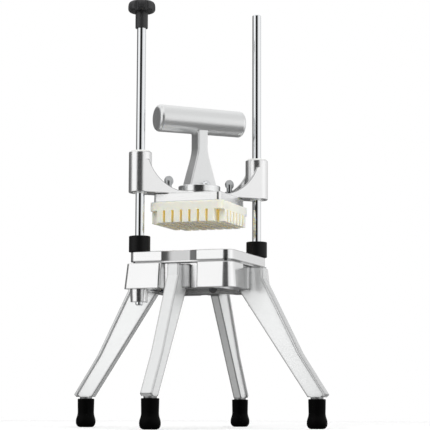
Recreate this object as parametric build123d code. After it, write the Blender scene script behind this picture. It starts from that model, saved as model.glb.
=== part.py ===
from build123d import *
import math
import os

# Hand press vegetable chopper: a square base on four legs, a blade plate, two upright rods
# and a sliding head that presses the food through the crossed blades.
# Frame: X runs along the line of the two rods, Y to the back, Z up, the table is Z = 0.
# The square pieces stand with a corner towards +X, so they are drawn square and then turned.
# All lengths are millimetres and all angles are degrees.

# Angles and counts
square_turn = 45.0
base_draft = 5.0
side_count = 4
blade_count = 8
knob_lobes = 8
screws_per_leg = 2
hex_sides = 6

# Fits and the overrun of every cut
rod_fit = 0.05
hole_clearance = 0.1
turning_fit = 0.06
overrun = 2.0

# Heights of the stack, from the table up
base_underside = 150.7
base_height = 28.0
plate_thickness = 13.0
bumper_height = 17.6
rest_gap = 48.2
head_plate_thickness = 10.0
arm_floor_thickness = 4.2

# Base casting
base_side = 120.0
base_corner_radius = 9.6
corner_block_reach = 62.0
corner_block_radius = 6.5
base_edge_radius = 1.0
opening_side = 89.0
opening_corner_radius = 8.0
recess_mouth = 41.0
recess_floor = 39.0
recess_depth = 5.0
recess_lip_radius = 2.5
boss_top_diameter = 20.0
boss_bottom_diameter = 18.6
boss_height = 14.0

# Legs, with reaches along the leg's own radius and runs measured from the foot's axis
foot_reach = 136.8
leg_web_thickness = 9.5
leg_flange_width = 13.4
leg_flange_depth = 4.0
leg_pad_width = 23.0
leg_pad_thickness = 7.0
leg_top_drop = 2.5
leg_top_reach = 77.4
leg_shoulder_step = 1.0
leg_shoulder_rise = 12.3
leg_knee_run = 16.4
leg_knee_height = 80.6
leg_toe_run = 12.2
leg_toe_rise = 4.6
leg_sole_outer = 9.4
leg_sole_inner = 9.2
leg_root_run = 5.8
leg_bend_radius = 45.0
leg_edge_radius = 1.3
leg_neck_diameter = 14.0
leg_neck_height = 2.0
peg_diameter = 10.0
peg_length = 20.0
leg_screw_diameter = 5.0
leg_screw_length = 20.0
leg_screw_head = 9.6
leg_screw_head_height = 2.8
leg_screw_pitch = 13.0
leg_screw_socket = 3.0
leg_screw_socket_depth = 1.6

# Rubber feet
foot_height = 32.0
foot_top_diameter = 19.0
foot_waist_diameter = 18.4
foot_bulge_diameter = 21.8
foot_flat_diameter = 11.0
foot_bulge_height = 9.0
foot_waist_height = 17.5
foot_rim_radius = 1.0

# Blade plate, its blades and the pins that hold them
plate_corner_radius = 9.6
plate_edge_chamfer = 0.8
plate_rebate_height = 2.0
plate_rebate_inset = 3.0
scoop_mouth = 41.6
scoop_floor = 19.0
scoop_depth = 2.4
blade_pitch = 10.0
blade_thickness = 0.8
blade_height = 4.8
blade_bevel = 1.6
blade_edge_thickness = 0.2
blade_seat = 9.5
blade_lift = 0.4
blade_layer_gap = 0.3
pin_diameter = 2.4
pin_length = 76.0
pin_end = 3.6

# Rods, the knob on the left one and the set screw that holds the right one
rod_spacing = 143.0
rod_diameter = 10.0
rod_top = 473.2
rod_end_chamfer = 1.0
rod_tip_diameter = 8.0
rod_tip_length = 3.6
left_rod_top = 471.0
knob_diameter = 30.4
knob_height = 13.0
knob_crown = 3.0
knob_top_flat = 14.0
knob_bottom_flat = 19.0
scallop_diameter = 4.6
scallop_lift = 0.5
lobe_radius = 0.8
collar_diameter = 14.0
collar_height = 18.0
collar_edge_radius = 0.6
set_screw_diameter = 5.0
set_screw_socket = 2.5
set_screw_socket_depth = 2.0
set_screw_sink = 0.5
bumper_diameter = 23.6
bumper_edge_radius = 0.8

# Sliding head
head_plate_side = 79.0
head_plate_corner_radius = 4.0
head_edge_radius = 1.0
sleeve_diameter = 25.5
sleeve_height = 45.5
sleeve_edge_radius = 1.2
arm_wall_thickness = 4.0
arm_wall_drop = 9.0
arm_reach = 31.5
arm_arc_sag = 6.0
arm_sleeve_overlap = 7.4
bush_diameter = 16.0
bush_length = 18.0
bush_flange_diameter = 21.0
bush_flange_thickness = 1.2

# Handle
grip_diameter = 30.5
grip_taper = 1.2
grip_length = 105.2
grip_end_radius = 4.4
grip_height = 81.5
flange_diameter = 47.0
flange_thickness = 7.0
flange_edge_radius = 1.0
neck_width = 12.0
neck_depth = 20.0
stem_foot_width = 32.0
stem_foot_depth = 23.6
stem_edge_radius = 1.5
stem_flare_height = 42.0
stem_fillet = 3.2
handle_screw_radius = 18.2
handle_screw_diameter = 6.0
handle_screw_length = 16.0
handle_screw_head = 10.4
handle_screw_head_height = 5.0
handle_screw_socket = 4.0
handle_screw_socket_depth = 2.2

# Thumb screws that hold the pusher block to the head
thumb_screw_spacing = 74.4
thumb_shank_diameter = 6.0
thumb_collar_diameter = 10.0
thumb_collar_height = 3.0
thumb_neck_diameter = 6.4
paddle_diameter = 10.9
paddle_thickness = 2.6
paddle_lift = 11.4
paddle_turn = 14.0
thumb_grip_depth = 6.5

# Pusher block
pusher_side = 86.0
pusher_corner_radius = 6.0
slab_thickness = 9.5
finger_length = 13.5
finger_slot = 2.8
pusher_edge_radius = 0.8

# Shares of the stem's flare
stem_height_shares = (0.0, 0.3, 0.62, 0.86, 1.0)
stem_width_shares = (1.0, 0.68, 0.32, 0.08, 0.0)

# Places worked out from the sizes above
base_top = base_underside + base_height
plate_top = base_top + plate_thickness
bumper_top = plate_top + bumper_height
sleeve_bottom = bumper_top + rest_gap
sleeve_top = sleeve_bottom + sleeve_height
head_bottom = sleeve_bottom - head_plate_thickness
arm_floor_top = sleeve_bottom + arm_floor_thickness
flange_top = arm_floor_top + flange_thickness
grip_axis = arm_floor_top + grip_height
pusher_bottom = head_bottom - slab_thickness - finger_length
boss_bottom = base_underside - boss_height
rod_x = rod_spacing / 2
rod_offset = rod_x / math.sqrt(2)
knob_top = left_rod_top + knob_crown
knob_bottom = knob_top - knob_height
collar_bottom = knob_bottom - collar_height
blade_length = opening_side + 2 * blade_seat
blade_reach = blade_length / 2
pin_offset = blade_reach - pin_end
lower_blade_z = base_top + blade_lift
upper_blade_z = lower_blade_z + blade_height + blade_layer_gap
thumb_x = thumb_screw_spacing / 2
leg_top = base_top - leg_top_drop
leg_toe_height = foot_height + leg_toe_rise
leg_sole = foot_height + leg_neck_height
leg_seat = base_side / 2 - recess_depth
stem_top = flange_top + stem_flare_height

# Names of the four sides, counter-clockwise from the back right
side_names = ("back_right", "back_left", "front_left", "front_right")

os.makedirs("parts", exist_ok=True)


def save(name, shape):
    """Write one node; a list of solids becomes a group."""
    whole = Compound(children=list(shape)) if isinstance(shape, list) else shape
    export_step(whole, f"parts/{name}.step")


def turned(shape):
    """Turn a squarely drawn piece so that a corner points along +X."""
    return Rot(0, 0, square_turn) * shape


def on_sides(shape):
    """Copies of a piece drawn on the +X side, one for each side of the square."""
    return [Rot(0, 0, square_turn + 360 / side_count * k) * shape for k in range(side_count)]


def upright(diameter, low, high, x=0, y=0):
    """Upright cylinder between two heights."""
    return Pos(x, y, (low + high) / 2) * Cylinder(diameter / 2, high - low)


def block(width, depth, low, high, x=0, y=0):
    """Box between two heights, centred on x and y."""
    return Pos(x, y, (low + high) / 2) * Box(width, depth, high - low)


def rounded_block(side, radius, low, high):
    """Square prism with rounded upright edges."""
    return Pos(0, 0, low) * extrude(RectangleRounded(side, side, radius), high - low)


def recess_cutter():
    """Cutter for a steep sided recess in the +X side of the base."""
    face = base_side / 2
    slope = (recess_mouth - recess_floor) / 2 / recess_depth
    outer = face + base_height
    outer_half = recess_mouth / 2 + slope * base_height
    outline = Polyline(
        (face - recess_depth, -recess_floor / 2),
        (outer, -outer_half),
        (outer, outer_half),
        (face - recess_depth, recess_floor / 2),
        close=True,
    )
    return Pos(0, 0, base_underside - overrun) * extrude(make_face(outline), base_height + 2 * overrun)


def scoop_cutter():
    """Cutter for a shallow finger scoop with curved ends in the +X side of the blade plate."""
    face = base_side / 2
    floor = face - scoop_depth
    run = (scoop_mouth - scoop_floor) / 2
    bend = 2 * math.atan2(scoop_depth, run)
    radius = run / math.sin(bend)
    half = scoop_floor / 2
    mouth = scoop_mouth / 2
    middle_x = floor + radius * (1 - math.cos(bend / 2))
    middle_y = half + radius * math.sin(bend / 2)
    outer = face + base_height
    outline = [
        Line((floor, -half), (floor, half)),
        ThreePointArc((floor, half), (middle_x, middle_y), (face, mouth)),
        Polyline((face, mouth), (outer, mouth), (outer, -mouth), (face, -mouth)),
        ThreePointArc((face, -mouth), (middle_x, -middle_y), (floor, -half)),
    ]
    return Pos(0, 0, base_top - overrun) * extrude(make_face(outline), plate_thickness + 2 * overrun)


def drafted(outline):
    """Prism as tall as the base from an outline at its top, widening downwards by the draft."""
    draft_run = base_height * math.tan(math.radians(base_draft))
    wide = offset(outline, draft_run, kind=Kind.INTERSECTION)
    return loft([Pos(0, 0, base_underside) * wide, Pos(0, 0, base_top) * outline])


def base_frame():
    """Base casting: a drafted square ring with recessed sides and two rod bosses."""
    body = drafted(RectangleRounded(base_side, base_side, base_corner_radius))
    block_inner = recess_mouth / 2
    block_side = corner_block_reach - block_inner
    for side in (-1, 1):
        place = side * (block_inner + block_side / 2)
        corner = drafted(Pos(place, -place, 0) * Rectangle(block_side, block_side))
        outer_edge = corner.edges().sort_by(lambda e: abs(e.center().X) + abs(e.center().Y))[-1]
        body += fillet(outer_edge, corner_block_radius)
    for k in range(side_count):
        body -= Rot(0, 0, 360 / side_count * k) * recess_cutter()
    body = fillet(recess_lips(body), recess_lip_radius)
    body = fillet(body.faces().sort_by(Axis.Z)[-1].edges(), base_edge_radius)
    body -= rounded_block(
        opening_side, opening_corner_radius, base_underside - overrun, base_top + overrun
    )
    body = turned(body)
    for side in (-1, 1):
        boss = Pos(side * rod_x, 0, base_underside - boss_height / 2) * Cone(
            boss_bottom_diameter / 2, boss_top_diameter / 2, boss_height
        )
        body += boss
    bore = rod_diameter + 2 * hole_clearance
    tip_bore = rod_tip_diameter + 2 * hole_clearance
    body -= upright(bore, base_underside - hole_clearance, base_top + overrun, -rod_x)
    body -= upright(tip_bore, boss_bottom - overrun, base_top, -rod_x)
    body -= upright(bore, boss_bottom - overrun, base_top + overrun, rod_x)
    for spot in leg_screw_spots():
        for hole in on_sides(leg_screw_hole(spot)):
            body -= hole
    body -= set_screw_hole()
    return body


def recess_lips(body):
    """Upright outer edges of the recesses in the squarely drawn base."""
    half = recess_mouth / 2
    lips = []
    for edge in body.edges():
        middle = edge.center()
        near, far = sorted((abs(middle.X), abs(middle.Y)))
        tall = edge.bounding_box().size.Z > base_height / 2
        if tall and abs(near - half) < base_edge_radius and far > base_side / 2:
            lips.append(edge)
    return lips


def leg_screw_spots():
    """Heights of the screws that hold one leg."""
    middle = (base_underside + leg_top) / 2
    first = middle - leg_screw_pitch * (screws_per_leg - 1) / 2
    return [first + leg_screw_pitch * k for k in range(screws_per_leg)]


def lying(diameter, start, end, z):
    """Cylinder along +X between two reaches at one height."""
    return Pos((start + end) / 2, 0, z) * Rot(0, 90, 0) * Cylinder(diameter / 2, end - start)


def leg_screw_hole(z):
    """Clearance hole and countersink, drawn on the +X side."""
    face = opening_side / 2
    shank = lying(
        leg_screw_diameter + 2 * hole_clearance, face - overrun, face + leg_screw_length + hole_clearance, z
    )
    return shank + countersink(z, hole_clearance)


def countersink(z, clearance):
    """Cone of a flat screw head whose wide end lies on the inner wall."""
    face = opening_side / 2
    return Pos(face + leg_screw_head_height / 2, 0, z) * Rot(0, 90, 0) * Cone(
        leg_screw_head / 2 + clearance, leg_screw_diameter / 2 + clearance, leg_screw_head_height
    )


def leg_screw(z):
    """Flat head socket screw from inside the base into a leg, drawn on the +X side."""
    face = opening_side / 2
    body = countersink(z, 0) + lying(leg_screw_diameter, face, face + leg_screw_length, z)
    socket = RegularPolygon(leg_screw_socket / 2, hex_sides)
    return body - Pos(face, 0, z) * Rot(0, 90, 0) * extrude(socket, leg_screw_socket_depth)


def leg():
    """Leg casting drawn on the +X side: pad, web, outer flange, and a neck and peg for its foot."""
    outer = [
        (leg_top_reach, leg_top),
        (leg_top_reach + leg_shoulder_step, base_underside + leg_shoulder_rise),
        (foot_reach - leg_knee_run, leg_knee_height),
        (foot_reach + leg_toe_run, leg_toe_height),
        (foot_reach + leg_sole_outer, leg_sole),
    ]
    inner = [
        (foot_reach - leg_sole_inner, leg_sole),
        (leg_seat - leg_root_run, base_underside),
        (leg_seat, base_underside),
        (leg_seat, leg_top),
    ]
    flange_back = [(reach - leg_flange_depth, height) for reach, height in reversed(outer)]
    web = leg_slice(outer + inner, leg_web_thickness)
    flange = leg_slice(outer + flange_back, leg_flange_width)
    flange = fillet(flange.faces().sort_by(Axis.Y)[0].outer_wire().edges(), leg_edge_radius)
    flange = fillet(flange.faces().sort_by(Axis.Y)[-1].outer_wire().edges(), leg_edge_radius)
    pad = block(
        leg_pad_thickness, leg_pad_width, base_underside, leg_top, leg_seat + leg_pad_thickness / 2
    )
    pad_edges = pad.edges().filter_by(Axis.Z).group_by(Axis.X)[-1]
    pad = fillet(pad_edges, leg_edge_radius)
    body = web + flange + pad
    body += upright(leg_neck_diameter, foot_height, leg_sole, foot_reach)
    body += upright(peg_diameter, foot_height - peg_length, foot_height, foot_reach)
    for spot in leg_screw_spots():
        body -= leg_screw_hole(spot)
    return body


def leg_slice(points, thickness):
    """Upright slice of a leg from its side outline, with its bends rounded."""
    outline = Plane.XZ * make_face(Polyline(*points, close=True))
    bends = [
        v for v in outline.vertices()
        if leg_toe_height + overrun < v.Z < base_underside - overrun
    ]
    outline = fillet(bends, leg_bend_radius)
    return extrude(outline, thickness / 2, both=True)


def foot():
    """Rubber foot drawn on the +X side, with a blind bore for the leg's peg."""
    top = foot_top_diameter / 2
    waist = foot_waist_diameter / 2
    bulge = foot_bulge_diameter / 2
    flat = foot_flat_diameter / 2
    side = Spline(
        (waist, 0, foot_waist_height),
        (bulge, 0, foot_bulge_height),
        (flat, 0, 0),
        tangents=[(0, 0, -1), (-1, 0, 0)],
    )
    rest = Polyline(
        (flat, 0, 0), (0, 0, 0), (0, 0, foot_height), (top, 0, foot_height), (waist, 0, foot_waist_height)
    )
    body = revolve(make_face([side, rest]), Axis.Z)
    body = fillet(body.edges().sort_by(Axis.Z)[-1], foot_rim_radius)
    body -= upright(
        peg_diameter + 2 * hole_clearance, foot_height - peg_length - hole_clearance, foot_height + overrun
    )
    return Pos(foot_reach, 0, 0) * body


def blade_places():
    """Offsets of the blades from the middle of the opening."""
    return [blade_pitch * (k - (blade_count - 1) / 2) for k in range(blade_count)]


def blade_slots(low_z):
    """Slots for one layer of blades that run along X, open at the plate's underside."""
    width = blade_thickness + 2 * hole_clearance
    length = blade_length + 2 * hole_clearance
    high = low_z + blade_height + hole_clearance
    cuts = [block(length, width, base_top - overrun, high, y=place) for place in blade_places()]
    groove = pin_diameter + 2 * hole_clearance
    pin_z = low_z + blade_height / 2
    for end in (-1, 1):
        cuts.append(
            block(groove, pin_length + 2 * hole_clearance, base_top - overrun, pin_z, x=end * pin_offset)
        )
        cuts.append(
            Pos(end * pin_offset, 0, pin_z) * Rot(90, 0, 0)
            * Cylinder(groove / 2, pin_length + 2 * hole_clearance)
        )
    return cuts


def blade_plate():
    """Blade plate: a square frame, rebated and slotted below, for two crossed layers of blades."""
    body = rounded_block(base_side, plate_corner_radius, base_top, plate_top)
    for turn in (0, 180):
        body -= Rot(0, 0, turn) * scoop_cutter()
    body = chamfer(body.faces().sort_by(Axis.Z)[-1].edges(), plate_edge_chamfer)
    rebate_top = base_top + plate_rebate_height
    rebate = block(2 * base_side, 2 * base_side, base_top - overrun, rebate_top)
    body -= rebate - rounded_block(
        base_side - 2 * plate_rebate_inset, plate_corner_radius - plate_rebate_inset,
        base_top - 2 * overrun, rebate_top + overrun,
    )
    body -= rounded_block(
        opening_side, opening_corner_radius, base_top - overrun, plate_top + overrun
    )
    for cut in blade_slots(lower_blade_z):
        body -= cut
    for cut in blade_slots(upper_blade_z):
        body -= Rot(0, 0, 90) * cut
    body = turned(body)
    for side in (-1, 1):
        body -= upright(
            rod_diameter + 2 * hole_clearance, base_top - overrun, plate_top + overrun, side * rod_x
        )
    return body


def blade(low_z, place):
    """One blade along X: a strip with a bevelled upper edge and a pin hole at each end."""
    half = blade_thickness / 2
    edge = blade_edge_thickness / 2
    high = low_z + blade_height
    shoulder = high - blade_bevel
    outline = Polyline(
        (-half, low_z), (half, low_z), (half, shoulder), (edge, high), (-edge, high), (-half, shoulder),
        close=True,
    )
    strip = extrude(Plane.YZ * make_face(outline), blade_reach, both=True)
    for end in (-1, 1):
        hole = Rot(90, 0, 0) * Cylinder(pin_diameter / 2 + hole_clearance, blade_thickness + 2 * overrun)
        strip -= Pos(end * pin_offset, 0, low_z + blade_height / 2) * hole
    return Pos(0, place, 0) * strip


def blade_pins(low_z):
    """Two pins through the blade ends of a layer that runs along X."""
    pin = Rot(90, 0, 0) * Cylinder(pin_diameter / 2, pin_length)
    return [Pos(end * pin_offset, 0, low_z + blade_height / 2) * pin for end in (-1, 1)]


def guide_rod_left():
    """Rod with a reduced end below, which draws out upwards."""
    body = upright(rod_diameter, base_underside, left_rod_top, -rod_x)
    tip = upright(rod_tip_diameter, boss_bottom - rod_tip_length, base_underside, -rod_x)
    tip = chamfer(tip.edges().sort_by(Axis.Z)[0], rod_end_chamfer)
    return body + tip


def guide_rod_right():
    """Plain rod held in its boss, with a dimple for the set screw."""
    body = upright(rod_diameter, boss_bottom, rod_top, rod_x)
    return chamfer(body.edges(), rod_end_chamfer) - set_screw_hole()


def set_screw_reach():
    """Distances from the rod's axis to the screw's inner and outer end."""
    inner = rod_diameter / 2 - set_screw_sink
    outer = base_side / 2 - rod_offset - set_screw_sink
    return inner, outer


def set_screw_body(diameter, inner, outer):
    """Cylinder along the set screw's axis, square to the back right face of the base."""
    middle = (base_underside + base_top) / 2
    return turned(Pos(rod_offset, -rod_offset, middle) * lying(diameter, inner, outer, 0))


def set_screw_hole():
    """Hole for the set screw through the base and into the rod."""
    inner, outer = set_screw_reach()
    diameter = set_screw_diameter + 2 * hole_clearance
    return set_screw_body(diameter, inner - hole_clearance, outer + base_height)


def set_screw():
    """Socket set screw that holds the right rod."""
    inner, outer = set_screw_reach()
    body = set_screw_body(set_screw_diameter, inner, outer)
    socket = extrude(RegularPolygon(set_screw_socket / 2, hex_sides), set_screw_socket_depth)
    middle = (base_underside + base_top) / 2
    place = Pos(rod_offset + outer - set_screw_socket_depth, -rod_offset, middle) * Rot(0, 90, 0)
    return body - turned(place * socket)


def rod_knob():
    """Scalloped knob with a collar, blind bored for the rod's top."""
    outline = Circle(knob_diameter / 2)
    for k in range(knob_lobes):
        spot = PolarLocations(knob_diameter / 2 + scallop_lift, 1, start_angle=360 * k / knob_lobes)
        outline -= spot * Circle(scallop_diameter / 2)
    outline = fillet(outline.vertices(), lobe_radius)
    above, below, girth = knob_top_flat / 2, knob_bottom_flat / 2, (knob_top + knob_bottom) / 2
    rim = Spline(
        (above, 0, knob_top),
        (knob_diameter / 2, 0, girth),
        (below, 0, knob_bottom),
        tangents=[(1, 0, 0), (-1, 0, 0)],
    )
    rest = Polyline((below, 0, knob_bottom), (0, 0, knob_bottom), (0, 0, knob_top), (above, 0, knob_top))
    round_head = revolve(make_face([rim, rest]), Axis.Z)
    head = round_head & Pos(0, 0, knob_bottom) * extrude(outline, knob_height)
    collar = upright(collar_diameter, collar_bottom, girth)
    head += fillet(collar.edges().sort_by(Axis.Z)[0], collar_edge_radius)
    head -= upright(rod_diameter + 2 * turning_fit, collar_bottom - overrun, left_rod_top + turning_fit)
    return Pos(-rod_x, 0, 0) * head


def bumper(side):
    """Rubber sleeve that stops the head."""
    body = upright(bumper_diameter, plate_top, bumper_top)
    body = fillet(body.edges(), bumper_edge_radius)
    body -= upright(rod_diameter + 2 * hole_clearance, plate_top - overrun, bumper_top + overrun)
    return Pos(side * rod_x, 0, 0) * body


def arm(side):
    """Floor and two walls of one arm, with a hollow curve along the top of the walls."""
    wall_top = sleeve_top - arm_wall_drop
    outer = rod_x
    arc_end = rod_x - sleeve_diameter / 2 + arm_sleeve_overlap
    edge = [
        Polyline(
            (arc_end, wall_top), (outer, wall_top), (outer, sleeve_bottom), (arm_reach, sleeve_bottom),
            (arm_reach, arm_floor_top),
        ),
        SagittaArc((arm_reach, arm_floor_top), (arc_end, wall_top), -arm_arc_sag),
    ]
    wall = extrude(Plane.XZ * make_face(edge), arm_wall_thickness)
    offset_y = sleeve_diameter / 2
    walls = Pos(0, offset_y, 0) * wall + Pos(0, arm_wall_thickness - offset_y, 0) * wall
    floor = block(outer, sleeve_diameter, sleeve_bottom, arm_floor_top, outer / 2)
    both = walls + floor
    return both if side > 0 else mirror(both, Plane.YZ)


def head_casting():
    """Sliding head: a square plate, two arms, a round seat for the handle and two sleeves."""
    body = rounded_block(head_plate_side, head_plate_corner_radius, head_bottom, sleeve_bottom)
    body = fillet(body.faces().sort_by(Axis.Z)[-1].edges(), head_edge_radius)
    body = turned(body)
    body += upright(flange_diameter, sleeve_bottom - head_edge_radius, arm_floor_top)
    for side in (-1, 1):
        sleeve = upright(sleeve_diameter, sleeve_bottom, sleeve_top)
        sleeve = fillet(sleeve.edges(), sleeve_edge_radius)
        body += arm(side)
        body += Pos(side * rod_x, 0, 0) * sleeve
    for side in (-1, 1):
        body -= upright(
            bush_diameter + 2 * hole_clearance, sleeve_bottom - overrun, sleeve_top + overrun, side * rod_x
        )
        body -= upright(
            thumb_shank_diameter + 2 * turning_fit, head_bottom - overrun, arm_floor_top + overrun,
            side * thumb_x,
        )
    for place in handle_screw_places():
        body -= place * handle_screw_hole()
    return body


def upper_bush(side):
    """Flanged nylon bush in the top of a sleeve."""
    body = upright(bush_diameter, sleeve_top - bush_length, sleeve_top)
    body += upright(bush_flange_diameter, sleeve_top, sleeve_top + bush_flange_thickness)
    body -= upright(
        rod_diameter + 2 * rod_fit, sleeve_bottom - overrun, sleeve_top + bush_flange_thickness + overrun
    )
    return Pos(side * rod_x, 0, 0) * body


def lower_bush(side):
    """Plain nylon bush in the bottom of a sleeve."""
    body = upright(bush_diameter, sleeve_bottom, sleeve_bottom + bush_length)
    body -= upright(rod_diameter + 2 * rod_fit, sleeve_bottom - overrun, sleeve_top)
    return Pos(side * rod_x, 0, 0) * body


def handle():
    """Handle casting: round flange, flared stem and a cross grip."""
    grip = Rot(0, 90, 0) * Cone(grip_diameter / 2, grip_diameter / 2 - grip_taper / 2, grip_length)
    grip = Pos(0, 0, grip_axis) * fillet(grip.edges(), grip_end_radius)
    sections = []
    for height_share, width_share in zip(stem_height_shares, stem_width_shares):
        width = neck_width + (stem_foot_width - neck_width) * width_share
        depth = neck_depth + (stem_foot_depth - neck_depth) * width_share
        z = flange_top + stem_flare_height * height_share
        sections.append(Pos(0, 0, z) * RectangleRounded(width, depth, stem_edge_radius))
    stem = loft(sections)
    neck = Pos(0, 0, stem_top) * extrude(
        RectangleRounded(neck_width, neck_depth, stem_edge_radius), grip_axis - stem_top
    )
    seat = upright(flange_diameter, arm_floor_top, flange_top)
    seat = fillet(seat.edges().sort_by(Axis.Z)[-1], flange_edge_radius)
    crosspiece = neck + grip
    grip_bottom = grip_axis - grip_diameter / 2
    joint_edges = [
        e for e in crosspiece.edges()
        if abs(e.center().X) < neck_width and grip_bottom - overrun < e.center().Z < grip_axis
        and e.geom_type != GeomType.LINE
    ]
    crosspiece = fillet(joint_edges, stem_fillet)
    body = seat + stem + crosspiece
    for place in handle_screw_places():
        body -= place * handle_screw_hole()
    return body


def handle_screw_places():
    """Places of the two handle screws on the flange's top."""
    return [Pos(0, side * handle_screw_radius, flange_top) for side in (-1, 1)]


def handle_screw_hole():
    """Clearance hole under a handle screw whose head rests at Z = 0."""
    return upright(
        handle_screw_diameter + 2 * hole_clearance, -handle_screw_length - hole_clearance, overrun / 2
    )


def handle_screw():
    """Domed socket screw whose head rests at Z = 0."""
    dome_height = handle_screw_head_height
    radius = (dome_height ** 2 + (handle_screw_head / 2) ** 2) / (2 * dome_height)
    ball = Pos(0, 0, dome_height - radius) * Sphere(radius)
    head = ball & upright(handle_screw_head, 0, dome_height + overrun)
    head += upright(handle_screw_diameter, -handle_screw_length, 0)
    socket = extrude(RegularPolygon(handle_screw_socket / 2, hex_sides), handle_screw_socket_depth + overrun)
    return head - Pos(0, 0, dome_height - handle_screw_socket_depth) * socket


def thumb_screw(side):
    """Thumb screw: round paddle, neck, collar and a shank into the pusher block."""
    body = upright(thumb_collar_diameter, arm_floor_top, arm_floor_top + thumb_collar_height)
    body += upright(thumb_neck_diameter, arm_floor_top, arm_floor_top + paddle_lift)
    body += upright(thumb_shank_diameter, head_bottom - thumb_grip_depth, arm_floor_top)
    paddle = Rot(90, 0, 0) * Cylinder(paddle_diameter / 2, paddle_thickness)
    body += Pos(0, 0, arm_floor_top + paddle_lift) * paddle
    return Pos(side * thumb_x, 0, 0) * Rot(0, 0, paddle_turn) * body


def pusher_block():
    """Pusher block: a slab with a grid of square fingers, less the four corner ones."""
    root = pusher_bottom + finger_length
    body = rounded_block(pusher_side, pusher_corner_radius, pusher_bottom, head_bottom)
    body = fillet(body.faces().sort_by(Axis.Z)[-1].edges(), pusher_edge_radius)
    for place in blade_places():
        slot = block(finger_slot, pusher_side + 2 * overrun, pusher_bottom - overrun, root, x=place)
        body -= slot
        body -= Rot(0, 0, 90) * slot
    corner = pusher_side / 2 - blade_places()[-1] + finger_slot / 2
    for sx in (-1, 1):
        for sy in (-1, 1):
            middle = pusher_side / 2 - corner / 2 + overrun / 2
            body -= block(
                corner + overrun, corner + overrun, pusher_bottom - overrun, root, sx * middle, sy * middle
            )
    body = turned(body)
    for side in (-1, 1):
        body -= upright(
            thumb_shank_diameter + 2 * turning_fit, head_bottom - thumb_grip_depth - turning_fit,
            head_bottom + overrun, side * thumb_x,
        )
    return body


def build():
    """Make every piece and write it to its own file."""
    save("base_frame", base_frame())
    for name, leg_piece, foot_piece in zip(side_names, on_sides(leg()), on_sides(foot())):
        save(f"leg_{name}", leg_piece)
        save(f"foot_{name}", foot_piece)
    save("leg_screws", [s for z in leg_screw_spots() for s in on_sides(leg_screw(z))])
    save("blade_plate", blade_plate())
    for k, place in enumerate(blade_places()):
        save(f"blade_lower_{k + 1}", turned(blade(lower_blade_z, place)))
        save(f"blade_upper_{k + 1}", turned(Rot(0, 0, 90) * blade(upper_blade_z, place)))
    pins = blade_pins(lower_blade_z) + [Rot(0, 0, 90) * p for p in blade_pins(upper_blade_z)]
    save("blade_pins", [turned(p) for p in pins])
    save("guide_rod_left", guide_rod_left())
    save("guide_rod_right", guide_rod_right())
    save("rod_set_screw", set_screw())
    save("rod_knob", rod_knob())
    save("head_casting", head_casting())
    for name, side in (("left", -1), ("right", 1)):
        save(f"bumper_{name}", bumper(side))
        save(f"upper_bush_{name}", upper_bush(side))
        save(f"lower_bush_{name}", lower_bush(side))
        save(f"thumb_screw_{name}", thumb_screw(side))
    save("handle", handle())
    save("handle_screws", [place * handle_screw() for place in handle_screw_places()])
    save("pusher_block", pusher_block())


build()
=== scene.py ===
import math

import bpy
from bpy.props import FloatProperty, FloatVectorProperty, PointerProperty
from mathutils import Matrix, Vector


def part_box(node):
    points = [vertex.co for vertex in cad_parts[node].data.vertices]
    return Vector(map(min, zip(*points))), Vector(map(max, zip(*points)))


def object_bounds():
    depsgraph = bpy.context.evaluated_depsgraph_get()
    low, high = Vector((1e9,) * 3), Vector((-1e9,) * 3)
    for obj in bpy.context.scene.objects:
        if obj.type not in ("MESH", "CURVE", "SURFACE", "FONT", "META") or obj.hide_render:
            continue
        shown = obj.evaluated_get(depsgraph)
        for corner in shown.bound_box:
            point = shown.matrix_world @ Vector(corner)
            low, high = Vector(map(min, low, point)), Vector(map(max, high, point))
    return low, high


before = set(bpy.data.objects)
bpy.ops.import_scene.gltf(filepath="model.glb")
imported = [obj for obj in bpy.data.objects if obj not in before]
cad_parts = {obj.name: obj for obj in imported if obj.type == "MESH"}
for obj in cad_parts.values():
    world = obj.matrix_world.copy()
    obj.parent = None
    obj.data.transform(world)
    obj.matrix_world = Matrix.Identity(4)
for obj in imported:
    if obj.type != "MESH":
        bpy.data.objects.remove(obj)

bl_info = {
    "name": "Vegetable Chopper Finishes",
    "version": (1, 0, 0),
    "blender": (4, 5, 0),
    "location": "3D View > Sidebar > Chopper",
    "description": "Finishes for a hand press vegetable chopper and a plain studio to show it in",
    "category": "Object",
}

CAD_BOX = [list(corner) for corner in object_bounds()]
MM = 0.001
WHITE = (1.0, 1.0, 1.0, 1.0)
FLOOR_SIDES = 96
# Width of the picture in pixels, and of the camera's sensor in millimetres
PHOTO_PIXELS = 430
SENSOR_WIDTH = 36.0

# Scales of a pattern along X, Y and Z that draw its grains out into lines
LEVEL_LINES = (0.03, 0.03, 1.0)
LATHE_RINGS = (0.05, 0.05, 1.0)
UPRIGHT_LINES = (1.0, 1.0, 0.04)

# Span that holds nearly all of a noise, and how far a polish strays from its roughness
NOISE_SPAN = (0.3, 0.7)
POLISH_SPREAD = (0.95, 1.08)

# How open a point lies where a painted tone is full, and where it ends: painted shade in nooks
# and along edges, and painted warm light in the pusher's slots
CAST_NOOK_SPAN = (0.35, 0.75)
LEG_NOOK_SPAN = (0.4, 0.9)
SLOT_SPAN = (0.25, 0.6)
EDGE_SPAN = (0.5, 0.95)

# Upward part of the normal on a leg's outer faces, where their painted shade begins and is full
OUTER_LEAN = (0.02, 0.07)
# Widths over which the flange's shine ends and each scoop's darker end begins
RIM_BLEND = 1.0 * MM
SCOOP_END_BLEND = 1.5 * MM

# Height of a direction where the ceiling takes over from the walls, and its turn to the
# right where the ceiling goes grey
CEILING_RISE = (0.28, 0.60)
CEILING_TURN = (0.10, 0.45)

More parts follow.
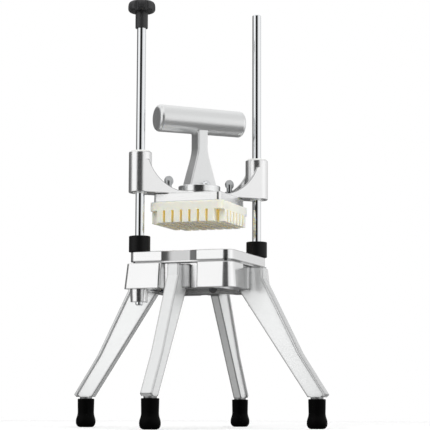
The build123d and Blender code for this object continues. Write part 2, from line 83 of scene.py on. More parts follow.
# Groups of like pieces, by the start of their names
LEGS = ("leg_front", "leg_back")
BLADES = ("blade_lower", "blade_upper", "blade_pins")
CHROMED = ("guide_rod", "handle_screws")
SCREWS = ("leg_screws", "rod_set_screw", "thumb_screw")
FEET = ("foot_",)
BUMPERS = ("bumper_",)
BUSHES = ("upper_bush", "lower_bush")


def linear(code):
    """Linear colour of an sRGB hex code."""
    parts = [int(code[k:k + 2], 16) / 255 for k in (1, 3, 5)]
    return tuple(p / 12.92 if p <= 0.04045 else ((p + 0.055) / 1.055) ** 2.4 for p in parts)


def rgba(colour):
    """Colour with full opacity for a node socket."""
    return (*colour, 1.0)


def toned(colour, share):
    """Colour brought to a share of its brightness."""
    return tuple(c * share for c in colour)


def per_metre(size):
    """Texture scale that gives features of this size in metres."""
    return 1.0 / size


def add_node(tree, kind, inputs=None, **settings):
    """Add one node, set its properties, and set or link its inputs."""
    made = tree.nodes.new(kind)
    for name, value in settings.items():
        setattr(made, name, value)
    for socket, value in (inputs or {}).items():
        if isinstance(value, bpy.types.NodeSocket):
            tree.links.new(value, made.inputs[socket])
        else:
            made.inputs[socket].default_value = value
    return made


def new_material(name):
    """Empty node material with its Principled shader wired to the output."""
    material = bpy.data.materials.new(name)
    material.use_nodes = True
    tree = material.node_tree
    tree.nodes.clear()
    shader = add_node(tree, "ShaderNodeBsdfPrincipled")
    add_node(tree, "ShaderNodeOutputMaterial", {"Surface": shader.outputs["BSDF"]})
    return material, tree, shader


def object_point(tree, scale=(1.0, 1.0, 1.0), turn=0.0):
    """Object coordinates, turned about Z and scaled along each axis."""
    place = add_node(tree, "ShaderNodeTexCoord")
    mapping = add_node(tree, "ShaderNodeMapping", {"Vector": place.outputs["Object"]})
    mapping.inputs["Rotation"].default_value = (0.0, 0.0, turn)
    stretch = add_node(tree, "ShaderNodeVectorMath", {0: mapping.outputs["Vector"], 1: scale},
                       operation="MULTIPLY")
    return stretch.outputs["Vector"]


# Its share carries painted shade into nooks and along edges, and painted light into the pusher's
# slots
def nook_share(tree, reach, span, samples=16, inward=False):
    """One in nooks and none in the open, by how open a point lies within reach.

    Looked at inward, from under the surface, a piece's outer edges are its nooks.
    """
    around = add_node(tree, "ShaderNodeAmbientOcclusion", {"Distance": reach},
                      samples=samples, inside=inward, only_local=inward)
    share = add_node(tree, "ShaderNodeMapRange", {
        "Value": around.outputs["AO"], "From Min": span[0], "From Max": span[1],
        "To Min": 1.0, "To Max": 0.0})
    return share.outputs["Result"]


def vary(tree, grain, colour, shade, gloss, relief, depth, span=(0.0, 1.0)):
    """Colour, roughness and normal that follow one pattern.

    The colour goes to its share shade, the roughness over the range gloss, and the normal
    by bumps of strength relief and a depth in metres.
    """
    tint = add_node(tree, "ShaderNodeMix", {
        "Factor": grain.outputs["Fac"], "A": rgba(colour),
        "B": rgba(toned(colour, shade))}, data_type="RGBA")
    shine = add_node(tree, "ShaderNodeMapRange", {
        "Value": grain.outputs["Fac"], "From Min": span[0], "From Max": span[1],
        "To Min": gloss[0], "To Max": gloss[1]})
    bump = add_node(tree, "ShaderNodeBump", {
        "Height": grain.outputs["Fac"], "Strength": relief, "Distance": depth})
    return tint.outputs["Result"], shine.outputs["Result"], bump.outputs["Normal"]


def wire(tree, shader, colour, roughness, normal):
    """Lead a finish's colour, roughness and normal into its shader."""
    tree.links.new(colour, shader.inputs["Base Color"])
    tree.links.new(roughness, shader.inputs["Roughness"])
    tree.links.new(normal, shader.inputs["Normal"])


def ray_kinds(tree):
    """One for rays from the eye, and one for rays that a mirror or glass sends on."""
    path = add_node(tree, "ShaderNodeLightPath")
    mirrored = add_node(tree, "ShaderNodeMath", {
        0: path.outputs["Is Glossy Ray"], 1: path.outputs["Is Transmission Ray"]},
        operation="MAXIMUM")
    return path.outputs["Is Camera Ray"], mirrored.outputs[0]


def members(starts):
    """CAD nodes whose names begin with one of these words."""
    found = [node for name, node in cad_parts.items() if name.startswith(tuple(starts))]
    if not found:
        raise RuntimeError(f"the frame has no node that begins with {starts}")
    return found


def dress(starts, material):
    """Give a group of CAD nodes their finish."""
    for node in members(starts):
        if node.material_slots:
            node.material_slots[0].material = material
        else:
            node.data.materials.append(material)


class ChopperFinish(bpy.types.PropertyGroup):
    """Colours and pattern sizes of the chopper's finishes."""

    cast_colour: FloatVectorProperty(
        name="Castings", description="Colour of the polished aluminium castings",
        subtype="COLOR", min=0, max=1, default=linear("#FDFDFD"))
    cast_shade: FloatProperty(
        name="Casting Shade", description="Share of brightness in the waves of the polish",
        subtype="FACTOR", min=0, max=1, default=0.96)
    cast_roughness: FloatProperty(
        name="Casting Roughness", description="Roughness of the polished castings",
        subtype="FACTOR", min=0, max=1, default=0.20)
    head_roughness: FloatProperty(
        name="Head Roughness",
        description="Roughness of the sliding head, polished less than the base",
        subtype="FACTOR", min=0, max=1, default=0.25)
    cast_wave: FloatProperty(
        name="Casting Wave", description="Width of the shallow waves that hand polishing leaves",
        subtype="DISTANCE", unit="LENGTH", min=1 * MM, default=14 * MM)
    cast_line: FloatProperty(
        name="Polishing Line",
        description="Spacing of the polishing lines, coarser than real to show",
        subtype="DISTANCE", unit="LENGTH", min=0.1 * MM, default=0.9 * MM)
    milled_roughness: FloatProperty(
        name="Milled Roughness",
        description="Roughness of the blade plate's milled finger scoops",
        subtype="FACTOR", min=0, max=1, default=0.3)
    milled_tone: FloatProperty(
        name="Milled Tone", description="Share of the castings' brightness in the scoops",
        subtype="FACTOR", min=0, max=1, default=0.74)
    scoop_width: FloatProperty(
        name="Scoop Width", description="Width of the blade plate's finger scoops",
        subtype="DISTANCE", unit="LENGTH", min=0, default=41.6 * MM)
    scoop_middle: FloatProperty(
        name="Scoop Middle",
        description="Distance from the plate's middle to the middle of a scoop's depth",
        subtype="DISTANCE", unit="LENGTH", min=0, default=58.5 * MM)
    scoop_depth: FloatProperty(
        name="Scoop Depth", description="Depth of the finger scoops that is left as milled",
        subtype="DISTANCE", unit="LENGTH", min=0, default=2.5 * MM)
    # From this distance along a scoop on, the code darkens it towards the end tone below
    scoop_dark_start: FloatProperty(
        name="Scoop Run Out",
        description="Distance along a scoop at which the cutter begins to run out",
        subtype="DISTANCE", unit="LENGTH", min=0, default=11.0 * MM)
    scoop_end_tone: FloatProperty(
        name="Run Out Tone", description="Share of brightness where the cutter ran out",
        subtype="FACTOR", min=0, max=1, default=0.18)
    # The castings' nook and edge tones are painted shade: darker in nooks and between parts, and
    # thin dark lines along the edges
    cast_nook: FloatProperty(
        name="Casting Nook", description="Reach of the dark tone in the castings' nooks",
        subtype="DISTANCE", unit="LENGTH", min=0.1 * MM, default=3.0 * MM)
    cast_nook_tone: FloatProperty(
        name="Casting Nook Tone", description="Share of brightness in the castings' nooks",
        subtype="FACTOR", min=0, max=1, default=0.25)
    cast_edge: FloatProperty(
        name="Casting Edge", description="Reach of the darker tone along the castings' edges",
        subtype="DISTANCE", unit="LENGTH", min=0.1 * MM, default=1.4 * MM)
    cast_edge_tone: FloatProperty(
        name="Casting Edge Tone", description="Share of brightness along the castings' edges",
        subtype="FACTOR", min=0, max=1, default=0.35)
    leg_colour: FloatVectorProperty(
        name="Legs", description="Colour of the silver lacquered legs",
        subtype="COLOR", min=0, max=1, default=linear("#F8F9F9"))
    leg_roughness: FloatProperty(
        name="Leg Roughness", description="Roughness of the silver lacquered legs",
        subtype="FACTOR", min=0, max=1, default=0.22)
    leg_grain: FloatProperty(
        name="Leg Grain",
        description="Sandy grain of the cast legs, coarser than real so that it shows",
        subtype="DISTANCE", unit="LENGTH", min=0.1 * MM, default=0.9 * MM)
    # The legs' outer-face, nook and edge tones are painted shade; the edge tone is thin dark
    # lines that stand in for the shading of the rounded edges
    leg_outer_tone: FloatProperty(
        name="Leg Face Tone", description="Share of brightness on the legs' outer faces",
        subtype="FACTOR", min=0, max=1, default=0.78)
    leg_nook: FloatProperty(
        name="Leg Nook", description="Reach of the darker tone in the legs' nooks",
        subtype="DISTANCE", unit="LENGTH", min=0.1 * MM, default=8.0 * MM)
    leg_nook_tone: FloatProperty(
        name="Leg Nook Tone", description="Share of brightness in the legs' nooks",
        subtype="FACTOR", min=0, max=1, default=0.6)
    # The legs' edge tone is painted shade, thin dark lines along the rounded edges
    leg_edge: FloatProperty(
        name="Leg Edge", description="Reach of the rubbed tone along the legs' edges",
        subtype="DISTANCE", unit="LENGTH", min=0.1 * MM, default=2.4 * MM)
    leg_edge_tone: FloatProperty(
        name="Leg Edge Tone", description="Share of brightness along the legs' edges",
        subtype="FACTOR", min=0, max=1, default=0.15)
    handle_colour: FloatVectorProperty(
        name="Handle", description="Colour of the satin aluminium handle",
        subtype="COLOR", min=0, max=1, default=linear("#FBFCFC"))
    flange_height: FloatProperty(
        name="Flange Height", description="Height of the handle's polished foot flange",
        subtype="DISTANCE", unit="LENGTH", min=0, default=7 * MM)
    flange_gloss: FloatProperty(
        name="Flange Gloss", description="Share of the handle's roughness that its flange keeps",
        subtype="FACTOR", min=0, max=1, default=0.55)
    handle_grit: FloatProperty(
        name="Handle Grit",
        description="Grain of the blasted handle, coarser than real so that it shows",
        subtype="DISTANCE", unit="LENGTH", min=0.1 * MM, default=0.8 * MM)
    chrome_colour: FloatVectorProperty(
        name="Rods", description="Colour of the hard chrome on the rods",
        subtype="COLOR", min=0, max=1, default=linear("#F4F6F8"))
    rod_ring: FloatProperty(
        name="Rod Ring", description="Spacing of the grinding rings, coarser than real to show",
        subtype="DISTANCE", unit="LENGTH", min=0.1 * MM, default=1.1 * MM)
    blade_colour: FloatVectorProperty(
        name="Blades", description="Colour of the stainless steel blades",
        subtype="COLOR", min=0, max=1, default=linear("#C4C5C6"))
    blade_line: FloatProperty(
        name="Blade Line", description="Spacing of the grinding lines, coarser than real to show",
        subtype="DISTANCE", unit="LENGTH", min=0.1 * MM, default=0.8 * MM)
    screw_colour: FloatVectorProperty(
        name="Screws", description="Colour of the zinc plated screws",
        subtype="COLOR", min=0, max=1, default=linear("#B9BBBC"))
    screw_cloud: FloatProperty(
        name="Screw Cloud", description="Size of the cloudy patches in the plating",
        subtype="DISTANCE", unit="LENGTH", min=0.1 * MM, default=2.5 * MM)
    rubber_colour: FloatVectorProperty(
        name="Rubber", description="Colour of the black rubber feet and bumpers",
        subtype="COLOR", min=0, max=1, default=linear("#020202"))
    foot_sheen: FloatProperty(
        name="Foot Sheen", description="Specular level of the moulded feet",
        subtype="FACTOR", min=0, max=1, default=0.05)
    bumper_sheen: FloatProperty(
        name="Bumper Sheen", description="Specular level of the ground bumpers",
        subtype="FACTOR", min=0, max=1, default=0.25)
    rubber_grain: FloatProperty(
        name="Rubber Grain",
        description="Grain of the moulded rubber, coarser than real so that it shows",
        subtype="DISTANCE", unit="LENGTH", min=0.1 * MM, default=0.7 * MM)
    knob_colour: FloatVectorProperty(
        name="Knob", description="Colour of the moulded black knob",
        subtype="COLOR", min=0, max=1, default=linear("#1D1D1E"))
    knob_flow: FloatProperty(
        name="Knob Flow", description="Size of the flow marks in the knob's skin",
        subtype="DISTANCE", unit="LENGTH", min=0.1 * MM, default=3.0 * MM)
    nylon_colour: FloatVectorProperty(
        name="Bushes", description="Colour of the nylon bushes",
        subtype="COLOR", min=0, max=1, default=linear("#F1F1EE"))
    bush_ring: FloatProperty(
        name="Bush Ring", description="Spacing of the turning rings, coarser than real to show",
        subtype="DISTANCE", unit="LENGTH", min=0.1 * MM, default=0.6 * MM)
    ivory_colour: FloatVectorProperty(
        name="Pusher", description="Colour of the ivory pusher block",
        subtype="COLOR", min=0, max=1, default=linear("#DCDCD2"))
    ivory_cloud: FloatProperty(
        name="Pusher Cloud", description="Size of the cloudy patches in the pusher's plastic",
        subtype="DISTANCE", unit="LENGTH", min=0.1 * MM, default=9.0 * MM)
    # The slots' amber tone and glow are painted light, for the warm light in the slots and the
    # light through the fingers
    slot_reach: FloatProperty(
        name="Slot Reach", description="Reach of the amber tone in the pusher's slots",
        subtype="DISTANCE", unit="LENGTH", min=0.1 * MM, default=7.0 * MM)
    glow_colour: FloatVectorProperty(
        name="Slot Glow Colour",
        description="Tone of the light that comes through the pusher's fingers",
        subtype="COLOR", min=0, max=1, default=linear("#FFE27A"))
    slot_glow: FloatProperty(
        name="Slot Glow",
        description="Strength of the light that comes through the pusher's fingers",
        min=0, max=1, default=0.085)
    slot_light_colour: FloatVectorProperty(
        name="Pusher Slots", description="Amber tone that use leaves in the pusher's slots",
        subtype="COLOR", min=0, max=1, default=linear("#FFEEB3"))


class ChopperStudio(bpy.types.PropertyGroup):
    """Camera, lamps and floor around the chopper."""

    camera_place: FloatVectorProperty(
        name="Camera Place", description="Where the camera stands",
        subtype="XYZ", unit="LENGTH", default=(-0.70980, -1.60759, 0.02366))
    camera_heading: FloatProperty(
        name="Heading", description="Camera's turn about the upright, from looking along +Y",
        subtype="ANGLE", default=math.radians(-24.399))
    camera_pitch: FloatProperty(
        name="Pitch", description="Camera's tilt above the horizon",
        subtype="ANGLE", default=math.radians(6.916))
    camera_roll: FloatProperty(
        name="Roll", description="Camera's turn about its own line of sight",
        subtype="ANGLE", default=math.radians(0.209))
    camera_focus: FloatProperty(
        name="Focal Length", description="Focal length in pixels of the photograph",
        min=1, default=1579.09)
    floor_colour: FloatVectorProperty(
        name="Floor", description="Colour of the studio floor",
        subtype="COLOR", min=0, max=1, default=linear("#DADADA"))
    floor_fibre: FloatProperty(
        name="Floor Fibre",
        description="Size of the mottling in the floor, coarser than real to show",
        subtype="DISTANCE", unit="LENGTH", min=0.1 * MM, default=4.0 * MM)
    floor_mirrored: FloatProperty(
        name="Mirrored Floor",
        description="Share of its brightness that the floor keeps in reflections",
        subtype="FACTOR", min=0, max=1, default=0.25)
    floor_lift: FloatProperty(
        name="Floor Lift",
        description="Light added to the floor for the eye, to match the white walls",
        min=0, max=1, default=0.2)
    floor_radius: FloatProperty(
        name="Floor Radius", description="Radius of the round studio floor",
        subtype="DISTANCE", unit="LENGTH", min=0.3, default=0.95)
    lamp_power: FloatProperty(
        name="Lamp Power", description="Power that the lamps share out",
        subtype="POWER", unit="POWER", min=0, default=26.0)
    ceiling_level: FloatProperty(
        name="Ceiling", description="Brightness of the ceiling in reflections",
        subtype="FACTOR", min=0, max=1, default=0.94)
    ceiling_right: FloatProperty(
        name="Ceiling Right", description="Brightness of the ceiling's right side in reflections",
        subtype="FACTOR", min=0, max=1, default=0.72)
    ambient: FloatProperty(
        name="Ambient", description="Strength of the studio's even light on matt surfaces",
        min=0, max=2, default=0.7)


class CHOPPER_OT_finish_castings(bpy.types.Operator):
    """Polish the base and the sliding head, and the blade plate with its milled scoops"""

    bl_idname = "chopper.finish_castings"
    bl_label = "Finish Castings"

    def execute(self, context):
        finish = context.scene.chopper_finish
        base = self.polished("Polished_cast_aluminium", finish, finish.cast_roughness)
        head = self.polished("Satin_polished_cast_aluminium", finish, finish.head_roughness)
        plate = self.polished(
            "Polished_and_milled_aluminium", finish, finish.cast_roughness, scooped=True)
        dress(("base_frame",), base)
        dress(("head_casting",), head)
        dress(("blade_plate",), plate)
        return {"FINISHED"}

    def polished(self, name, finish, roughness, scooped=False):
        # Polished cast aluminium: bright and mirror-like with soft reflections that
        # waver a little, and faint lines where the buffing wheel ran along the faces.
        material, tree, shader = new_material(name)
        shader.inputs["Metallic"].default_value = 1.0
        wave = add_node(tree, "ShaderNodeTexNoise", {
            "Vector": object_point(tree), "Scale": per_metre(finish.cast_wave),
            "Detail": 2.0, "Roughness": 0.5})
        lines = add_node(tree, "ShaderNodeTexNoise", {
            "Vector": object_point(tree, LEVEL_LINES), "Scale": per_metre(finish.cast_line),
            "Detail": 3.0, "Roughness": 0.6})
        tint = add_node(tree, "ShaderNodeMix", {
            "Factor": wave.outputs["Fac"], "A": rgba(finish.cast_colour),
            "B": rgba(toned(finish.cast_colour, finish.cast_shade))}, data_type="RGBA")
        # Painted shade: darker in nooks and between parts, where shade falls
        nook_shaded = add_node(tree, "ShaderNodeMix", {
            "Factor": nook_share(tree, finish.cast_nook, CAST_NOOK_SPAN, samples=8),
            "A": tint.outputs["Result"],
            "B": rgba(toned(finish.cast_colour, finish.cast_nook_tone))}, data_type="RGBA")
        # Painted shade: the wheel rolls the edges over, and thin darker lines along them stand in
        # for their shading
        darkened = add_node(tree, "ShaderNodeMix", {
            "Factor": nook_share(tree, finish.cast_edge, EDGE_SPAN, inward=True),
            "A": nook_shaded.outputs["Result"],
            "B": rgba(toned(finish.cast_colour, finish.cast_edge_tone))}, data_type="RGBA")
        gloss = add_node(tree, "ShaderNodeMapRange", {
            "Value": lines.outputs["Fac"], "From Min": NOISE_SPAN[0], "From Max": NOISE_SPAN[1],
            "To Min": roughness * POLISH_SPREAD[0], "To Max": roughness * POLISH_SPREAD[1]})
        if scooped:
            # The finger scoops are left as milled and duller than the faces; their colour is
            # greyer than the faces, and darkest towards one end of each scoop
            milled, dark_end = self.scoop_shares(tree, finish)
            grey = add_node(tree, "ShaderNodeMix", {
                "Factor": dark_end, "A": rgba(toned(finish.cast_colour, finish.milled_tone)),
                "B": rgba(toned(finish.cast_colour, finish.scoop_end_tone))}, data_type="RGBA")
            darkened = add_node(tree, "ShaderNodeMix", {
                "Factor": milled, "A": darkened.outputs["Result"],
                "B": grey.outputs["Result"]}, data_type="RGBA")
            gloss = add_node(tree, "ShaderNodeMix", {
                "Factor": milled, "A": gloss.outputs["Result"], "B": finish.milled_roughness})
        swell = add_node(tree, "ShaderNodeBump", {
            "Height": wave.outputs["Fac"], "Strength": 0.12, "Distance": 0.25 * MM})
        brush = add_node(tree, "ShaderNodeBump", {
            "Height": lines.outputs["Fac"], "Strength": 0.03, "Distance": 0.06 * MM,
            "Normal": swell.outputs["Normal"]})
        wire(tree, shader, darkened.outputs["Result"], gloss.outputs["Result"],
             brush.outputs["Normal"])
        return material

    def scoop_shares(self, tree, finish):
        # First a one inside the scoops, which lie in the middle of two sides of the turned plate,
        # then a one past the start of each scoop's darker end
        square = object_point(tree, turn=math.radians(-45))
        axes = add_node(tree, "ShaderNodeSeparateXYZ", {"Vector": square})
        deep = add_node(tree, "ShaderNodeMath", {0: axes.outputs["X"]}, operation="ABSOLUTE")
        along = add_node(tree, "ShaderNodeMath", {0: axes.outputs["Y"]}, operation="ABSOLUTE")
        below = add_node(tree, "ShaderNodeMath", {
            0: deep.outputs[0], 1: finish.scoop_middle, 2: finish.scoop_depth / 2},
            operation="COMPARE")
        inside = add_node(tree, "ShaderNodeMath", {
            0: along.outputs[0], 1: finish.scoop_width / 2}, operation="LESS_THAN")
        both = add_node(tree, "ShaderNodeMath", {
            0: below.outputs[0], 1: inside.outputs[0]}, operation="MULTIPLY")
        side = add_node(tree, "ShaderNodeMath", {0: axes.outputs["X"]}, operation="SIGN")
        ahead = add_node(tree, "ShaderNodeMath", {
            0: axes.outputs["Y"], 1: side.outputs[0]}, operation="MULTIPLY")
        dark_end = add_node(tree, "ShaderNodeMapRange", {
            "Value": ahead.outputs[0], "From Min": finish.scoop_dark_start,
            "From Max": finish.scoop_dark_start + SCOOP_END_BLEND})
        return both.outputs[0], dark_end.outputs["Result"]


class CHOPPER_OT_finish_legs(bpy.types.Operator):
    """Lacquer the legs silver"""

    bl_idname = "chopper.finish_legs"
    bl_label = "Finish Legs"

    def execute(self, context):
        finish = context.scene.chopper_finish
        # Silver lacquer on cast aluminium: its flakes shine a little and spread the rest of
        # the light, so it stays pale all round, with the sandy grain of the casting under it.
        material, tree, shader = new_material("Silver_lacquered_cast_aluminium")
        shader.inputs["Metallic"].default_value = 0.6
        sand = add_node(tree, "ShaderNodeTexNoise", {
            "Vector": object_point(tree), "Scale": per_metre(finish.leg_grain),
            "Detail": 3.0, "Roughness": 0.6})
        tint, gloss, normal = vary(
            tree, sand, finish.leg_colour, shade=0.96,
            gloss=[finish.leg_roughness * edge for edge in POLISH_SPREAD],
            relief=0.03, depth=0.06 * MM, span=NOISE_SPAN)
        # Painted shade: the outer faces, which alone lean back, are given a greyer tone by their
        # direction
        faces = add_node(tree, "ShaderNodeTexCoord")
        lean = add_node(tree, "ShaderNodeSeparateXYZ", {"Vector": faces.outputs["Normal"]})
        outer = add_node(tree, "ShaderNodeMapRange", {
            "Value": lean.outputs["Z"], "From Min": OUTER_LEAN[0], "From Max": OUTER_LEAN[1]})
        outer_shaded = add_node(tree, "ShaderNodeMix", {
            "Factor": outer.outputs["Result"], "A": tint,
            "B": rgba(toned(finish.leg_colour, finish.leg_outer_tone))}, data_type="RGBA")
        # Painted shade: darker in the legs' nooks, along the inner corner of flange and web
        nook_shaded = add_node(tree, "ShaderNodeMix", {
            "Factor": nook_share(tree, finish.leg_nook, LEG_NOOK_SPAN),
            "A": outer_shaded.outputs["Result"],
            "B": rgba(toned(finish.leg_colour, finish.leg_nook_tone))}, data_type="RGBA")
        # Painted shade: thin dark lines along the edges stand in for the shading of the rounded
        # edges
        darkened = add_node(tree, "ShaderNodeMix", {
            "Factor": nook_share(tree, finish.leg_edge, EDGE_SPAN, inward=True),
            "A": nook_shaded.outputs["Result"],
            "B": rgba(toned(finish.leg_colour, finish.leg_edge_tone))}, data_type="RGBA")
        wire(tree, shader, darkened.outputs["Result"], gloss, normal)
        dress(LEGS, material)
        return {"FINISHED"}


class CHOPPER_OT_finish_handle(bpy.types.Operator):
    """Blast the cast handle to a satin grey"""

    bl_idname = "chopper.finish_handle"
    bl_label = "Finish Handle"

    def execute(self, context):
        finish = context.scene.chopper_finish
        # Satin cast aluminium: bead blasted, so its light is spread into a soft grey sheen
        # with a fine grain and no sharp reflections.
        material, tree, shader = new_material("Satin_blasted_aluminium")
        shader.inputs["Metallic"].default_value = 1.0
        grit = add_node(tree, "ShaderNodeTexNoise", {
            "Vector": object_point(tree), "Scale": per_metre(finish.handle_grit),
            "Detail": 3.0, "Roughness": 0.6})
        tint, blasted, normal = vary(
            tree, grit, finish.handle_colour, shade=0.88, gloss=(0.30, 0.40),
            relief=0.15, depth=0.05 * MM)
        # The flange is turned bright after blasting, up to its top edge
        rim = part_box("handle")[0].z + finish.flange_height
        height = add_node(tree, "ShaderNodeSeparateXYZ", {"Vector": object_point(tree)})
        above = add_node(tree, "ShaderNodeMapRange", {
            "Value": height.outputs["Z"],
            "From Min": rim - RIM_BLEND / 2, "From Max": rim + RIM_BLEND / 2,
            "To Min": finish.flange_gloss, "To Max": 1.0})
        gloss = add_node(tree, "ShaderNodeMath", {
            0: blasted, 1: above.outputs["Result"]}, operation="MULTIPLY")
        wire(tree, shader, tint, gloss.outputs[0], normal)
        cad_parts["handle"].material_slots[0].material = material
        return {"FINISHED"}


class CHOPPER_OT_finish_rods(bpy.types.Operator):
    """Chrome the two guide rods and the handle's domed screws"""

    bl_idname = "chopper.finish_rods"
    bl_label = "Finish Rods"

    def execute(self, context):
        finish = context.scene.chopper_finish
        # Hard chrome on ground steel: a cool mirror with faint rings from grinding.
        material, tree, shader = new_material("Hard_chromed_steel")
        shader.inputs["Metallic"].default_value = 1.0
        rings = add_node(tree, "ShaderNodeTexNoise", {
            "Vector": object_point(tree, LATHE_RINGS), "Scale": per_metre(finish.rod_ring),
            "Detail": 2.0, "Roughness": 0.5})
        wire(tree, shader, *vary(
            tree, rings, finish.chrome_colour, shade=0.95, gloss=(0.04, 0.09),
            relief=0.04, depth=0.02 * MM))
        dress(CHROMED, material)
        return {"FINISHED"}


class CHOPPER_OT_finish_blades(bpy.types.Operator):
    """Grind the blades and their pins"""

    bl_idname = "chopper.finish_blades"
    bl_label = "Finish Blades"

    def execute(self, context):
        finish = context.scene.chopper_finish
        # Ground stainless strip: grey with lines across the strip where it was ground.
        material, tree, shader = new_material("Ground_stainless_steel")
        shader.inputs["Metallic"].default_value = 1.0
        lines = add_node(tree, "ShaderNodeTexNoise", {
            "Vector": object_point(tree, UPRIGHT_LINES), "Scale": per_metre(finish.blade_line),
            "Detail": 3.0, "Roughness": 0.6})
        wire(tree, shader, *vary(
            tree, lines, finish.blade_colour, shade=0.8, gloss=(0.16, 0.26),
            relief=0.15, depth=0.05 * MM))
        dress(BLADES, material)
        return {"FINISHED"}


class CHOPPER_OT_finish_screws(bpy.types.Operator):
    """Plate the screws and the thumb screws"""

    bl_idname = "chopper.finish_screws"
    bl_label = "Finish Screws"

    def execute(self, context):
        finish = context.scene.chopper_finish
        # Zinc plated steel: mid grey with the cloudy patches of thin plating.
        material, tree, shader = new_material("Zinc_plated_steel")
        shader.inputs["Metallic"].default_value = 1.0
        cloud = add_node(tree, "ShaderNodeTexNoise", {
            "Vector": object_point(tree), "Scale": per_metre(finish.screw_cloud),
            "Detail": 4.0, "Roughness": 0.6})
        wire(tree, shader, *vary(
            tree, cloud, finish.screw_colour, shade=0.75, gloss=(0.12, 0.26),
            relief=0.1, depth=0.08 * MM))
        dress(SCREWS, material)
        return {"FINISHED"}


class CHOPPER_OT_finish_rubber(bpy.types.Operator):
    """Mould the feet and bumpers in black rubber"""

    bl_idname = "chopper.finish_rubber"
    bl_label = "Finish Rubber"

    def execute(self, context):
        finish = context.scene.chopper_finish
        dress(FEET, self.rubber("Moulded_black_rubber", finish, finish.foot_sheen))
        dress(BUMPERS, self.rubber("Ground_black_rubber", finish, finish.bumper_sheen))
        return {"FINISHED"}

    def rubber(self, name, finish, sheen):
        # Black rubber: nearly black, with a dull sheen broken by a fine grain. The ground
        # bumpers shine a little more than the moulded feet.
        material, tree, shader = new_material(name)
        shader.inputs["Specular IOR Level"].default_value = sheen
        grain = add_node(tree, "ShaderNodeTexNoise", {
            "Vector": object_point(tree), "Scale": per_metre(finish.rubber_grain),
            "Detail": 3.0, "Roughness": 0.6})
        wire(tree, shader, *vary(
            tree, grain, finish.rubber_colour, shade=2.0, gloss=(0.38, 0.55),
            relief=0.2, depth=0.1 * MM))
        return material


class CHOPPER_OT_finish_knob(bpy.types.Operator):
    """Mould the knob in black plastic"""

    bl_idname = "chopper.finish_knob"
    bl_label = "Finish Knob"

    def execute(self, context):
        finish = context.scene.chopper_finish
        # Moulded phenolic plastic: black with a smooth semi-gloss skin and faint flow marks.
        material, tree, shader = new_material("Moulded_phenolic_plastic")
        flow = add_node(tree, "ShaderNodeTexNoise", {
            "Vector": object_point(tree), "Scale": per_metre(finish.knob_flow),
            "Detail": 4.0, "Roughness": 0.6, "Distortion": 0.6})
        wire(tree, shader, *vary(
            tree, flow, finish.knob_colour, shade=1.6, gloss=(0.28, 0.40),
            relief=0.08, depth=0.1 * MM))
        dress(("rod_knob",), material)
        return {"FINISHED"}


class CHOPPER_OT_finish_bushes(bpy.types.Operator):
    """Turn the bushes in white nylon"""

    bl_idname = "chopper.finish_bushes"
    bl_label = "Finish Bushes"

    def execute(self, context):
        finish = context.scene.chopper_finish
        # Turned white nylon: milky, with fine rings from the lathe.
        material, tree, shader = new_material("Turned_white_nylon")
        shader.inputs["IOR"].default_value = 1.53
        rings = add_node(tree, "ShaderNodeTexNoise", {
            "Vector": object_point(tree, LATHE_RINGS), "Scale": per_metre(finish.bush_ring),
            "Detail": 2.0, "Roughness": 0.5})
        wire(tree, shader, *vary(
            tree, rings, finish.nylon_colour, shade=0.92, gloss=(0.35, 0.5),
            relief=0.1, depth=0.05 * MM))
        dress(BUSHES, material)
        return {"FINISHED"}


class CHOPPER_OT_finish_pusher(bpy.types.Operator):
    """Mould the pusher block in ivory plastic"""

    bl_idname = "chopper.finish_pusher"
    bl_label = "Finish Pusher"

    def execute(self, context):
        finish = context.scene.chopper_finish
        # Moulded ivory polyethylene: waxy and a little see-into; the warmer tone and glow in the
        # slots are painted light.
        material, tree, shader = new_material("Moulded_ivory_polyethylene")
        shader.inputs["IOR"].default_value = 1.52
        shader.inputs["Subsurface Weight"].default_value = 0.7
        shader.inputs["Subsurface Radius"].default_value = (1.0, 0.75, 0.4)
        shader.inputs["Subsurface Scale"].default_value = 6.0 * MM
        cloud = add_node(tree, "ShaderNodeTexNoise", {
            "Vector": object_point(tree), "Scale": per_metre(finish.ivory_cloud),
            "Detail": 4.0, "Roughness": 0.55})
        tint, gloss, normal = vary(
            tree, cloud, finish.ivory_colour, shade=0.9, gloss=(0.32, 0.45),
            relief=0.1, depth=0.15 * MM)
        # Painted light: an amber tone where the slots close in, for the warm light in them
        slot_light_mask = nook_share(tree, finish.slot_reach, SLOT_SPAN, samples=8)
        slot_lit = add_node(tree, "ShaderNodeMix", {
            "Factor": slot_light_mask, "A": tint, "B": rgba(finish.slot_light_colour)}, data_type="RGBA")
        # Painted glow: emission in the slots stands in for light that comes through the thin
        # fingers
        glow = add_node(tree, "ShaderNodeMath", {
            0: slot_light_mask, 1: finish.slot_glow}, operation="MULTIPLY")
        shader.inputs["Emission Color"].default_value = rgba(finish.glow_colour)
        tree.links.new(glow.outputs[0], shader.inputs["Emission Strength"])
        wire(tree, shader, slot_lit.outputs["Result"], gloss, normal)
        dress(("pusher_block",), material)
        return {"FINISHED"}


# Brightness of the studio walls by angle in degrees round the object from the camera's
# side, positive to the right in the picture: a dark gap at the camera, a white wall on
# each side, the right one longer, and dark behind. These are what the polished metal mirrors.
STUDIO_WALLS = (
    (-180, 0.10), (-150, 0.12), (-120, 0.13), (-97, 0.16), (-84, 1.0), (-35, 1.0), (-28, 0.02),
    (22, 0.02), (31, 0.80), (48, 0.86), (66, 0.98), (90, 0.98), (108, 0.80), (140, 0.74),
    (162, 0.50), (180, 0.08),
)


